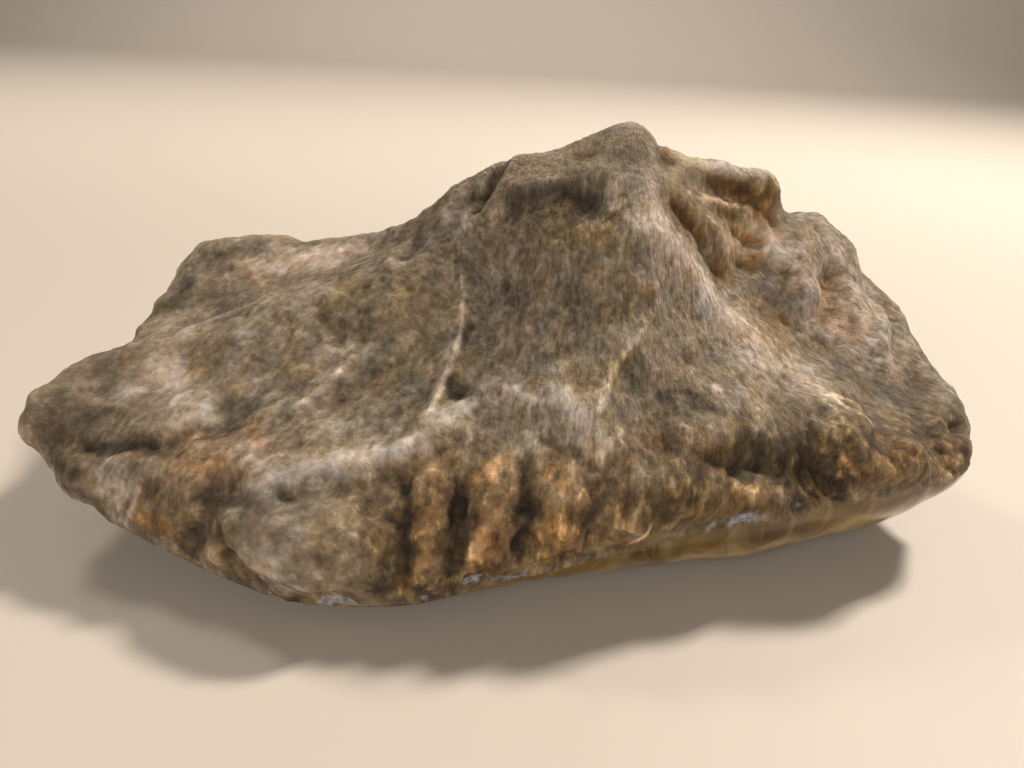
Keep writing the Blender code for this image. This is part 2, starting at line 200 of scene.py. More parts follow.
# Named lines and edges of the rough side.
BROW = [(-1.5, 5.5, 41), (0, 4.8, 42.3), (3, 4, 43.2), (5.5, 3.6, 43.3), (8, 3, 42.8)]
LEDGE = [
    (-24.5, -18, 15), (-20, -17, 16.5), (-16.5, -15.5, 17), (-12.5, -14.5, 18), (-10, -14, 19),
    (-5.5, -11.5, 21.5),
]
# lower edge of the polished strip, where a reflection of the floor is painted
PAINTED_REFLECTION = [(21, -13.5, 5), (27.5, -13, 6), (33, -11, 6.5), (38.5, -8.5, 6.3), (43, -8, 8), (47.5, -7.5, 10)]
BAND = [
    (-12, -21, 14), (-8.5, -20, 12), (0, -19, 12), (8, -19, 13), (15, -17, 15), (22, -14, 16),
    (30, -11, 16), (38, -8, 15),
]
LEFT_GROOVE = [(-48.5, -11, 14), (-46, -11.3, 14.3), (-42.5, -12, 15), (-40, -11.7, 15.4)]
LEFT_VEIN = [
    (-6.8, 3, 33), (-6.5, 0.5, 30.5), (-6.2, -1.5, 29), (-6.6, -5.5, 26.5), (-7.3, -7, 24.7),
    (-8, -9.5, 23), (-9, -11.5, 21.5),
]
RIGHT_SPUR = [
    (15.5, -2, 34.5), (16, -2.5, 33), (15.5, -3.5, 31), (14, -5.5, 30), (12.5, -7.5, 28.5), (11, -9, 26.5),
    (9.5, -13, 23.5),
]
RIGHT_RIDGE = [(15, 1, 42), (17.5, 1, 38.5), (21, 2, 34.5), (25, 1.5, 30.5), (30, 0, 26.5), (36, -2, 23.5)]
SLOPE_VEIN = [(-25, -9, 19), (-23.5, -7.5, 20), (-21, -5.5, 21.5), (-20, -4, 23)]
SLOT = [(17.5, 6, 42), (19, 6.5, 41), (21.5, 7, 38.5), (22.5, 7.5, 36.5), (24, 7.5, 34.5), (25, 7, 33.5)]
SLOT_EDGE = [(19, 7, 42.5), (21, 7, 40.5), (23, 7, 38), (24, 7.5, 35)]
UNDERCUT = [(23.5, 11.5, 44.5), (26.5, 13, 43.5), (29, 13.5, 42.5), (31.5, 14, 40), (32.5, 13.5, 38.5)]
WEB = [(22, 9, 42), (24.5, 11, 41.5), (27.5, 12.5, 41), (30, 13.5, 40)]
WEB_END = [(31, 14, 40), (32, 12.5, 38), (31, 10.5, 35)]
PIT_TOP = [(27, 11, 37.5), (29, 11.5, 37), (30.5, 11.5, 36.5)]
PIT_FOOT = [(28, 9.5, 34), (29.5, 9.5, 33.5), (31, 10, 34.5)]
GAPS = [
    [(-11, -17, 16), (-10.5, -20.5, 13.5), (-10.5, -22, 8)],
    [(-5, -17.5, 16.5), (-4.5, -19.5, 13), (-4.5, -20.5, 8.5)],
    [(1.5, -16.5, 18.5), (2, -19, 15.5), (2, -19.5, 10)],
    [(8.8, -18, 17), (9.2, -19, 14), (9.5, -18.5, 10)],
]
COLUMNS = [
    [(-8, -17, 17), (-8, -20, 14), (-8, -22, 9)], [(-1.8, -17, 18), (-1.8, -20.5, 14), (-1.8, -21, 8.5)],
    [(5.2, -17.5, 18), (5.4, -20.3, 14), (5.6, -20, 9)],
]
RECESS = [(27, -11, 19.5), (31, -10, 18.8), (34.5, -9.2, 17.2), (37, -9.2, 15.2), (38.5, -9.7, 13.6)]
FAN = [
    [(37, -4.5, 22.5), (37.5, -8.5, 19.5), (39.2, -9.2, 16.8), (41.5, -9.5, 14.3)],
    [(37, -4.5, 22.5), (39, -8, 20.5), (41, -9, 19), (44.5, -9.5, 16)],
    [(37.5, -4, 22.5), (40.5, -6, 21.5), (44.5, -6, 19.5), (48, -7.5, 18)],
    [(38, -3.5, 22.5), (43, -3.5, 20.5), (50.5, -4, 16.5)],
]
# Middles of small upright teeth of the band, and the short line along each.
TEETH = [
    (23, -7, 24), (24.5, -9.5, 23), (27.5, -10.5, 21), (19.5, -12, 21.5), (19, -9, 23.5),
    (22.5, -14.5, 18.5), (23, -15.5, 15), (13.5, -19.5, 13.5), (15.5, -17.5, 11), (14, -18, 19),
    (12, -14.5, 22), (17.5, -17.5, 17.5), (20, -16.5, 17), (27, -14.5, 14.5), (31, -12.5, 14),
    (34.5, -11, 14.5), (18.5, -17, 12.5), (25, -14, 18),
]
TOOTH_LINES = [[(x, y, z + 0.8), (x, y, z - 0.8)] for x, y, z in TEETH]

# Thin tan veins: knots, reach and strength.
VEINS = [
    (LEFT_VEIN, 0.42, 1.0), (RIGHT_SPUR, 0.42, 1.0), (SLOT_EDGE, 0.5, 0.7), (SLOPE_VEIN, 0.6, 0.55),
    ([(-6.5, -7, 24.6), (-5, -8.3, 23.7), (-1.5, -9.5, 24.5), (2, -11, 24), (6, -12.7, 23.3)], 0.5, 0.7),
    ([(10.5, 2.5, 41), (11.5, 2, 42.5)], 1.0, 0.6), ([(9.5, 0.5, 40.2), (10.5, 1.8, 41)], 1.0, 0.6),
]
VEINS += [(streak, 0.5, 1.0) for streak in FAN]

# Small forms of the rough side that the solid is too coarse for: knots, reach, height.
CARVED = [
    (BROW, 1.4, -0.5), ([(-0.5, 5, 43.3), (2.5, 4.5, 44.3), (6, 3.5, 44.5), (8.5, 3.5, 43.5)], 0.9, 0.35),
    ([(10.5, 2.5, 41), (11.5, 2, 42.5)], 0.9, 0.35),
    # gullies on the crest's left end
    ([(-2.5, 12.5, 44.5), (-4, 12, 42.5), (-5.5, 9, 39.5)], 0.8, -0.6),
    ([(-6.5, 11, 40.5), (-7.5, 10.5, 39.5)], 0.8, -0.5),
    ([(-13, 14, 36), (-14, 9.5, 34), (-14.5, 8, 33)], 0.8, -0.5),
    ([(-9.5, 11.5, 38), (-6, 7.5, 38.5)], 1.4, 0.35),
    # slot, pit and undercut of the right block, and the thin ridges between them
    (SLOT, 0.7, -0.35), (SLOT_EDGE, 0.6, 0.4), (UNDERCUT, 0.9, -0.5), (WEB, 0.8, 0.45),
    (WEB_END, 0.8, 0.45), (PIT_TOP, 0.8, -0.5), (PIT_FOOT, 0.8, -0.4), ([(24.5, 9.5, 40.5)], 1.0, -0.4),
    ([(24, 8, 37.5)], 0.8, -0.3),
    # uneven top edge of the block
    ([(19, 12, 46.5)], 1.1, 0.5), ([(21.5, 12, 47)], 1.2, 0.5), ([(25.5, 13, 46.5)], 1.2, 0.45),
    ([(28, 14, 46)], 1.0, 0.4), ([(30.5, 15, 45)], 1.3, 0.4), ([(23.5, 12.5, 47)], 0.8, -0.4),
    ([(17.3, 11.5, 46.5)], 1.0, -0.5), ([(9, 7.5, 48.5), (13, 8.5, 49)], 2.2, 0.3),
    ([(-1.5, 12, 46)], 1.4, 0.3),
    # right ridge and the veins of the centre face
    (RIGHT_RIDGE, 2.0, 0.3), (LEFT_VEIN, 0.5, 0.35), (RIGHT_SPUR, 0.6, 0.4),
    ([(-5.5, -4, 27), (-5, -2, 28.5)], 0.7, -0.4), ([(2.5, -5.5, 29.5), (2.5, -6.5, 28)], 0.5, -0.3),
    ([(0.5, -3, 30.5), (0.5, -4.5, 28.5)], 0.5, -0.3), ([(-1.5, 0.5, 32.5), (-0.5, -1.5, 31)], 0.9, -0.3),
    # grooves of the left end
    (LEFT_GROOVE, 0.75, -0.45), ([(-40, -11.7, 15.4), (-36.5, -11, 16.3), (-33.5, -10, 17)], 1.3, -0.25),
    ([(-33.5, -6.5, 18), (-32, -9.5, 17)], 1.3, -0.4), ([(-37.5, 6.5, 24.5), (-36, 7, 25.3)], 1.1, -0.5),
    (SLOPE_VEIN, 0.6, 0.3), ([(-6.5, -7.8, 23.7), (-6.3, -8.8, 22.7)], 1.1, -0.5),
    ([(-51, -4, 18), (-44, -7, 18)], 1.0, -0.3), ([(-47, 13.5, 20.5), (-38, 14, 23.5)], 0.9, -0.4),
    # ledge above the band, and the pits below it
    (LEDGE, 1.3, 0.45), ([(-22, -19.5, 14.3), (-14, -18, 16), (-8.5, -15.5, 18)], 1.3, -0.35),
    ([(-32.5, -18, 12.5), (-30, -17, 13.5), (-27.5, -19.5, 14)], 1.3, -0.5),
    ([(-30.5, -20.5, 10.5), (-28.5, -21, 7), (-26, -21, 4)], 1.2, -0.6),
    ([(-23.5, -18.7, 14.5)], 0.9, -0.4), ([(-19.5, -17.3, 15.7)], 0.9, -0.4),
    ([(-33, -18.5, 10.5), (-34.5, -17.5, 7), (-35, -18, 5)], 0.8, -0.5),
    ([(-23, -24, 8), (-18, -25, 6)], 1.4, 0.3),
    # recess under the fan
    (RECESS, 1.5, -0.4), ([(16.5, -9, 24), (21, -9.5, 23), (25.5, -10.5, 21.5)], 1.0, -0.4),
    # right end
    ([(58.5, 1.2, 18.6)], 1.2, 0.5), ([(59, -2, 16)], 1.2, 0.6), ([(58.5, -0.4, 17.4)], 0.9, -0.6),
    ([(39.5, 9, 28)], 1.0, -0.5), ([(30, 5.5, 29.5), (34, 6.5, 27.5)], 1.1, -0.35),
    ([(34, 10, 33), (38, 11, 31)], 1.0, -0.35), ([(46, 8, 26.5), (47.5, 12, 28)], 1.0, -0.35),
]
CARVED += [(gap, 0.75, -0.6) for gap in GAPS] + [(column, 1.3, 0.35) for column in COLUMNS]
CARVED += [(streak, 0.5, 0.3) for streak in FAN] + [(tooth, 0.6, 0.3) for tooth in TOOTH_LINES]

# Tones of the weathered skin: knots and reach, and how strong the tone is there. The pale, dark and rust
# tones also hold painted light and shade.
# Pale tone: partly the stone's own paler colour, partly painted light: a highlight along the ledge, light on
# the right flank, and a reflection of the floor along the polished strip.
PALE_AND_LIT = [
    ([(-43.5, -1, 19.5), (-40.5, -3.5, 19)], 2.0, 0.8),
    ([(-38.5, -7.5, 19), (-36.5, -9, 17.5), (-38.5, -10.5, 16.5)], 1.6, 0.9),
    ([(-45.5, -5.5, 18.5), (-47, -6, 18)], 1.6, 0.5),
    ([(-46, -13.5, 12.5), (-43.5, -15, 11), (-42, -16, 10)], 2.0, 0.75), ([(-40, -17.2, 9.3)], 1.2, 0.5),
    ([(-37, -14.5, 14.5), (-33, -15, 14.5), (-31, -13, 16.5)], 1.8, 0.45), ([(-31, -21.5, 7.5)], 1.3, 0.6),
    ([(-37, 20.5, 26.5), (-31.5, 21, 28), (-24.5, 20.5, 30), (-21, 20, 31)], 3.4, 0.6),
    ([(-44.5, 15.5, 21.5), (-48.5, 13, 19.5)], 1.8, 0.5), ([(-42, 5, 22), (-34, 9, 26)], 2.2, 0.35),
    # the first patch below is a painted highlight along the ledge
    (LEDGE, 1.6, 1.0), ([(-9, -12.5, 21), (-7, -10, 23)], 1.4, 0.5),
    ([(6.5, -13, 22.5), (9.5, -15, 21), (11, -17, 19)], 1.6, 0.8),
    ([(8, -13, 24), (4, -12, 24), (1, -11, 23.5)], 1.5, 0.6), (RIGHT_RIDGE, 3.0, 0.75),
    ([(29, -1, 25.5), (33.5, -1, 23.5), (38, -4, 22.5)], 1.6, 0.7),
    ([(37.5, -3.5, 22.5), (37, -6.5, 21)], 1.2, 0.8), ([(1.5, -5, 29)], 0.7, 0.6),
    ([(3, -6, 29)], 0.7, 0.6), ([(6.5, -8.5, 27), (5, -10, 25.5)], 1.2, 0.4), (WEB, 0.9, 0.8),
    (WEB_END, 0.9, 0.8), ([(19, 12, 46.5), (25.5, 13, 46.5), (31, 15, 45)], 1.3, 0.8),
    ([(-9.5, 11.5, 38), (-8, 10, 38.5), (-6, 7.5, 38.5)], 1.5, 0.35),
    ([(11, 3, 41.5), (12, 2.5, 43)], 1.6, 0.6), ([(33, 11, 36.5), (37, 11, 33.5)], 2.5, 0.6),
    ([(-24.5, -23.5, 11.5), (-20.5, -25, 11), (-16, -24.5, 9)], 1.6, 0.1),
    ([(-24.5, -24, 9), (-21, -24, 6), (-17, -22.5, 4.5)], 1.8, 0.45),
    ([(-20.5, -22.5, 13.5), (-16, -22, 13)], 1.2, 0.3),
    # the first patch below is painted light on the right flank
    ([(38, 8, 30), (46, 9, 27), (42, 14, 34)], 5.0, 0.5), ([(27, 10, 42), (30, 12, 38)], 3.0, 0.6),
    ([(22, 8.5, 41), (26, 9, 37.5)], 1.8, 0.5), ([(-1.5, -17.3, 18.2)], 1.2, 0.7),
    ([(-8, -16.8, 17.3)], 1.2, 0.6), ([(-8, -21.8, 11), (-8, -22, 8)], 1.0, 0.45),
    ([(-2.2, -20.8, 13), (-2.2, -21, 9)], 1.6, 0.8), ([(4.5, -20.3, 13), (5.5, -20.3, 10)], 1.2, 0.35),
    # the first patch below is a painted reflection of the floor along the polished strip
    (PAINTED_REFLECTION, 1.3, 1.0), ([(8, -17, 4), (16, -15.5, 5)], 1.0, 0.4),
]
PALE_AND_LIT += [(tooth, 0.7, 1.0) for tooth in TOOTH_LINES]
# Dark tone: partly the stone's own darker colour, partly painted shade: under the brow, in the recess under
# the fan, under the block's top edge and in the gaps between the columns. It is also darker in many of the
# grooves and pits that are carved.
DARK_AND_SHADE = [
    (BROW, 1.7, 0.85), ([(0, 5, 42.7), (5, 4, 43.7), (8, 3.5, 43)], 0.9, 0.7),
    ([(-2.5, 12.5, 44.5), (-4, 12, 42.5), (-5.5, 9, 39.5)], 0.8, 0.85),
    ([(-6.5, 11, 40.5), (-7.5, 10.5, 39.5)], 0.8, 0.7),
    ([(-13, 14, 36), (-14, 9.5, 34), (-14.5, 8, 33)], 0.8, 0.5), ([(-13, 8.5, 33.5)], 0.8, 0.6),
    ([(-48.5, 20.5, 23.5), (-48.5, 17, 21)], 1.6, 0.7),
    ([(-46.5, 24.5, 27), (-41.5, 24.5, 28), (-38, 24.5, 28.5)], 1.2, 0.6),
    ([(-37.5, 6.5, 24.5), (-36, 7, 25)], 1.3, 0.9), ([(-49, -2.5, 18.5), (-49, -4, 18)], 1.5, 0.4),
    ([(-48.5, -8.5, 16), (-50.5, -9, 16)], 1.6, 0.7), (LEFT_GROOVE, 0.9, 0.8),
    ([(-53, -9.5, 16.5), (-49.5, -10.3, 15.3)], 1.7, 0.5),
    ([(-40, -11.7, 15.4), (-36.5, -11, 16.3)], 1.2, 0.4), ([(-33.5, -6.5, 18), (-32, -9.5, 17)], 1.5, 0.5),
    ([(-55, -9, 18), (-53.5, -10.5, 15.5), (-52, -11.5, 13.5), (-49.5, -13.5, 12)], 1.5, 0.65),
    ([(-52, -8, 17), (-49, -9.5, 16)], 1.4, 0.7),
    ([(-51.5, -13, 12.5), (-48.5, -14, 9), (-45, -15, 7)], 1.2, 0.7),
    ([(-23.5, 3, 27), (-23.5, 2, 25.5)], 1.5, 0.45),
    ([(-32, -17.5, 13), (-30, -18, 13), (-27.5, -19.5, 14), (-25.5, -21, 13.5)], 1.5, 0.45),
    ([(-33, -18.5, 10.5), (-34.5, -17.5, 7), (-35, -18, 5)], 0.7, 0.6),
    ([(-29, -20.5, 9.5), (-28.5, -21, 7), (-26, -21.3, 4.3), (-23, -22.3, 3.6)], 1.2, 0.65),
    ([(-22, -20, 14), (-14, -19, 15), (-10, -17, 16.5)], 2.2, 0.35), ([(-25.5, -20, 14)], 0.9, 0.5),
    ([(-23.5, -18.7, 14.5)], 0.9, 0.7), ([(-19.5, -17.3, 15.7)], 0.9, 0.7),
    ([(-12.5, -15.8, 16)], 0.9, 0.7), ([(12, -18.5, 17), (18.5, -17, 17), (23.5, -15.5, 14.5)], 3.0, 0.3),
    ([(-12.5, -22.5, 7), (-12.5, -22.5, 5)], 1.1, 0.7), ([(-8, -19.3, 15)], 1.2, 0.6),
    ([(-1.5, -19.5, 16)], 0.9, 0.5), ([(0, -2, 33), (6, -3, 34), (3, -7, 29)], 7.0, 0.2),
    ([(-1.5, 0.5, 32.5), (-0.5, -1.5, 31)], 1.1, 0.5), ([(-5, 2.5, 32)], 1.0, 0.4),
    ([(2.5, -5.5, 29.5), (2.5, -6.5, 28)], 0.5, 0.7), ([(0.5, -3, 30.5), (0.5, -4.5, 28.5)], 0.5, 0.6),
    ([(-5.5, -4, 27), (-5, -2, 28.5)], 0.7, 0.7), ([(-6.5, -7.8, 23.7), (-6.3, -8.8, 22.7)], 1.1, 0.95),
    ([(10.2, -4.2, 32.5)], 1.1, 0.45), ([(9, -3, 35.5)], 0.9, 0.35),
    ([(0, -8, 26), (5, -9, 26.5)], 1.2, 0.3), (SLOT, 0.8, 0.4), (PIT_TOP, 0.7, 0.3), (PIT_FOOT, 0.8, 0.35),
    (UNDERCUT, 0.9, 0.5), ([(24.5, 9.5, 40.5)], 0.8, 0.2), ([(31.5, 8, 32), (35.5, 8, 30)], 2.2, 0.45),
    ([(39.5, 8.8, 28)], 0.9, 0.8), ([(30.5, 5.5, 29), (34, 6.5, 27.5)], 1.1, 0.45),
    ([(41.5, 4, 22.5), (44, 3, 21.5), (51, 2.5, 19.5)], 1.7, 0.5), (RECESS, 1.7, 1.0),
    ([(16.5, -9, 24), (21, -9.5, 23), (25.5, -10.5, 21.5)], 1.3, 0.6),
    ([(21.5, -15, 18.5), (27, -12, 18)], 1.8, 0.7), ([(27, -14.5, 12.8), (34, -12, 13.3)], 1.3, 0.6),
    ([(56.5, 1.5, 19), (57, -2, 16)], 1.1, 0.6), ([(10, -19, 14.5)], 1.6, 0.4),
    ([(15.5, -18.5, 14.5), (20, -16, 13)], 1.6, 0.45), ([(10.5, 7, 48.5), (13, 7, 47.5)], 3.0, 0.22),
    ([(38.6, -8.7, 18.6), (40.6, -9.3, 16.6), (43, -9.5, 14.8)], 0.7, 0.4),
    ([(41, -7.8, 20), (45, -8.5, 17.6)], 0.6, 0.35),
]
# painted shade in the gaps between the columns
DARK_AND_SHADE += [(gap, 0.8, 0.75) for gap in GAPS]
# Rust tone: the stone's own rusty colour, and under the block's top edge a painted brown shade.
RUST_AND_SHADE = [
    (SLOT, 1.2, 1.0), (UNDERCUT, 1.3, 0.9), (PIT_TOP, 1.0, 0.9), (PIT_FOOT, 0.9, 0.9),
    ([(27, 9.5, 36)], 2.0, 0.4), ([(16.5, 12, 47.5), (17.5, 12, 46)], 1.1, 0.8),
    ([(-39.8, -17.2, 9), (-38, -17.5, 9)], 1.2, 1.0), ([(-36, -15.5, 14.5), (-32, -15, 15)], 2.0, 0.3),
    ([(-37, -17, 10), (-35, -18, 8.5)], 1.5, 0.2), ([(-29.5, -9.5, 18), (-28, -12.5, 17.5)], 1.3, 0.35),
    ([(-8, -19.3, 15)], 1.2, 0.8), ([(-10.3, -22, 6), (-9.5, -22, 8)], 1.1, 0.9),
    ([(-1, -17.5, 17.5), (-1.5, -19.5, 16)], 1.2, 0.5), ([(12.5, -16.5, 20), (16.5, -13, 20)], 1.2, 0.5),
    ([(22, -14, 19.5)], 1.3, 0.5), ([(14.8, -2.5, 34.5)], 1.1, 0.5), ([(9, 0.5, 39.5)], 1.2, 0.2),
    ([(25, -15, 14), (29.5, -13.3, 13.5)], 1.5, 0.5), ([(24, -15.5, 12)], 1.1, 0.5),
    ([(30.5, 5.5, 29), (34, 6.5, 27.5)], 1.3, 0.7), ([(39.5, 9, 28)], 1.3, 0.7),
    ([(43.5, 8.5, 27), (41, 10.5, 29.5)], 2.6, 0.3),
    ([(38.6, -8.7, 18.6), (40.6, -9.3, 16.6), (43, -9.5, 14.8)], 0.9, 0.7),
    ([(41, -7.8, 20), (45, -8.5, 17.6)], 0.8, 0.5), ([(42, -8, 18), (48, -7, 17)], 4.0, 0.3),
    ([(50, -4.5, 15.5), (53, -3.5, 15)], 2.0, 0.35), ([(-37, 19, 25.5)], 1.3, 0.5),
    ([(-31, 20, 28)], 1.2, 0.3), ([(-30.5, -21.5, 7)], 1.6, 0.4), ([(7.5, -19.5, 12)], 1.2, 0.6),
]
RUST_AND_SHADE += [(column, 2.2, 0.55) for column in COLUMNS]
OLIVE = [
    ([(-37, -1, 21), (-38, -1.5, 20.5)], 1.7, 0.6), ([(-22.5, 4, 28.5), (-20, 4.5, 29.5)], 2.6, 0.6),
    ([(-14, 2, 29), (-12, -2, 27)], 4.0, 0.4), ([(3, 1, 40.5), (6, 0, 39.5)], 2.4, 0.3),
    ([(5, 3, 41.5)], 2.0, 0.6), ([(28, 3, 27), (33, 4, 26)], 2.5, 0.4),
    ([(8, -10, 27), (12, -9, 28)], 3.0, 0.3), ([(24.5, 9.5, 40.5)], 1.3, 0.9), ([(24, 8, 37.5)], 1.2, 0.8),
    ([(37.5, 14, 37.5)], 2.0, 0.5), ([(26, 11, 38)], 3.0, 0.4), ([(20, 12.5, 46.5)], 2.0, 0.6),
    ([(13, -18, 14), (20, -16, 16)], 4.0, 0.4), ([(-33, -14, 15)], 3.0, 0.3), ([(36, -9, 15)], 3.0, 0.4),
    ([(-8, -22, 8)], 1.3, 0.5), ([(31.5, 14, 42)], 2.0, 0.5),
]
PINK = [
    ([(-37, 20.5, 26.5), (-31.5, 21, 28), (-24.5, 20.5, 30)], 3.5, 0.5),
    ([(-38, -14, 15), (-33, -15, 15), (-29, -13, 17)], 2.5, 0.6),
    ([(-44.5, -2.5, 19), (-43, -1, 19.5)], 1.8, 0.7), ([(-42, 3.5, 21.5), (-47, 1.5, 20)], 1.6, 0.5),
    ([(-35, -13, 16.5), (-28, -16, 16), (-22, -15, 16.5)], 2.4, 0.6),
    ([(-46, 14, 20.5), (-42, 15.5, 22.5)], 1.8, 0.5),
    ([(43.5, 8.5, 27), (41, 11, 30), (38, 12, 33)], 3.5, 0.6), ([(26, 2, 29), (32, 1, 26.5)], 2.5, 0.5),
    (RIGHT_RIDGE, 3.0, 0.25), ([(-36, 8.5, 25.8)], 1.5, 0.5), ([(55.5, -0.5, 18), (54, -5, 14)], 1.6, 0.5),
    ([(-1.5, -17.3, 18.2)], 1.4, 0.7), ([(-4.5, -13.5, 20)], 1.0, 0.6), ([(-1.8, -20.7, 12)], 1.8, 0.5),
    ([(-40, -16.8, 8.5)], 2.0, 0.4), ([(22, -16, 15), (28, -12, 20)], 1.4, 0.3),
    ([(-15, 17, 33)], 2.0, 0.4), (WEB, 1.4, 0.5),
]
EARTHY = [
    (BAND, 6.0, 1.0), ([(-9, -22, 6), (0, -20, 7), (8, -19, 9)], 4.0, 1.0),
    ([(-36, -17, 11), (-31, -19.5, 9)], 3.5, 0.45), ([(38, -8, 17), (46, -6, 16), (54, -2, 15)], 4.5, 0.8),
    ([(-50, -11, 13), (-55, -8, 16)], 3.0, 0.6),
    ([(-42, -12, 14), (-36, -11, 16), (-30, -11, 17)], 2.0, 0.6), ([(0, 3, 40), (8, 2, 41)], 4.0, 0.3),
    ([(20, 8, 41), (26, 11, 40), (31, 13, 42)], 4.0, 0.7), ([(-28, -21, 5), (-16, -23, 4)], 2.0, 0.6),
    ([(-44, 37, 11), (-18, 42, 10), (10, 41, 11), (33, 36, 12), (51, 25, 14)], 6.0, 0.8),
]
BLUISH = [
    ([(-16.5, -22, 3.2), (-18.5, -22, 3)], 0.8, 0.9),
    ([(-3.5, -20, 4.8), (1, -19, 5.5), (3, -18.8, 5.8)], 0.7, 1.0), ([(-7.5, -21, 3.8)], 0.7, 0.7),
    ([(23.5, -15, 10.8), (25.5, -14.7, 11.3), (28, -14, 11.6)], 0.9, 1.1), ([(38, -9.8, 12.6)], 0.6, 0.9),
    ([(-29, -20.5, 4.2)], 0.8, 0.6), ([(33, -12, 12.3)], 0.5, 0.7),
]
TONES = {
    "pale": PALE_AND_LIT, "dark": DARK_AND_SHADE, "rust_and_shade": RUST_AND_SHADE, "olive": OLIVE, "pink": PINK, "earthy": EARTHY,
    "bluish": BLUISH,
}

# Gaps between the corallites that show along the far side, by their place along X.
FAR_GAPS = (-43, -37.5, -31, -25, -18.5, -10, -4, 2.5, 11, 17, 23.5, 32, 38, 43.5)
FAR_FROM = 23.0  # the far side begins here, along Y
FAR_FADE = 8.0  # and its gaps are whole this much further back
FAR_FOOT = (0.5, 2.5)  # how high above the polished edge the gaps begin
FAR_TOP = (6.6, 11.0)  # and how high above it they end
FAR_GAP_WIDTH = 0.9
FAR_GAP_DEPTH = 0.8
# the far gaps get this share of the dark tone, as painted shade
FAR_GAP_DARK = 0.6
FAR_GAP_BEND = (1.2, 7.0)  # how far they bend, and over what size
FAR_GAP_SHARE = (0.8, 0.4, 6.0)  # their mean share of the depth, how much it varies, and over what size
FAR_GAP_LIMITS = (0.2, 1.2)
# Scattered tones of the far side: how many patches of each, their widest reach and their strength.
SCATTERED = {
    "pale": (16, 3.5, 0.6), "dark": (18, 2.5, 0.6), "rust_and_shade": (9, 3.0, 0.6), "olive": (10, 5.0, 0.6),
    "pink": (8, 4.0, 0.6),
}
SCATTERED_REACH = (0.4, 1.0)
SCATTERED_STRENGTH = (0.6, 1.0)
FAR_SEED = 7

# Where the stone is lumpy and shows little of the coral's fibres.
LUMPY = [
    ([(20, 10, 43), (27, 12, 41), (31, 13, 38)], 5.0, 1.0), ([(-56, -5, 17), (-40, 0, 20)], 9.0, 0.8),
    ([(-47, 18, 23), (-28, 20, 28)], 8.0, 0.8), ([(-26, -22, 11), (-15, -22, 12)], 5.0, 0.9),
    ([(-10, -20, 12), (10, -19, 12), (30, -12, 15)], 5.0, 0.9),
]


class Wire:
    """A socket of a node tree. Sums written with it become Math nodes."""

    def __init__(self, tree, socket):
        self.tree = tree
        self.socket = socket

    def math(self, operation, *others, flip=False):
        node = self.tree.nodes.new("ShaderNodeMath")
        node.operation = operation
        values = [self, *others]
        if flip:
            values.reverse()
        for slot, value in zip(node.inputs, values):
            join(self.tree, slot, value)
        return Wire(self.tree, node.outputs[0])

    def __add__(self, other):
        return self.math("ADD", other)

    def __radd__(self, other):
        return self.math("ADD", other)

    def __sub__(self, other):
        return self.math("SUBTRACT", other)

    def __rsub__(self, other):
        return self.math("SUBTRACT", other, flip=True)

    def __mul__(self, other):
        return self.math("MULTIPLY", other)

    def __rmul__(self, other):
        return self.math("MULTIPLY", other)

    def __truediv__(self, other):
        return self.math("DIVIDE", other)

    def __rtruediv__(self, other):
        return self.math("DIVIDE", other, flip=True)

    def clamp(self):
        return self.math("MINIMUM", 1.0).math("MAXIMUM", 0.0)

    def rise(self, low, high):
        """0 below low, 1 above high, and a smooth slope between them."""
        values = {"Value": self, "From Min": low, "From Max": high}
        return Nodes(self.tree).add("ShaderNodeMapRange", {"interpolation_type": "SMOOTHSTEP"}, values)


def join(tree, slot, value):
    """Links a wire to a slot, or sets the slot to a plain value."""
    if isinstance(value, Wire):
        tree.links.new(value.socket, slot)
    else:
        slot.default_value = value


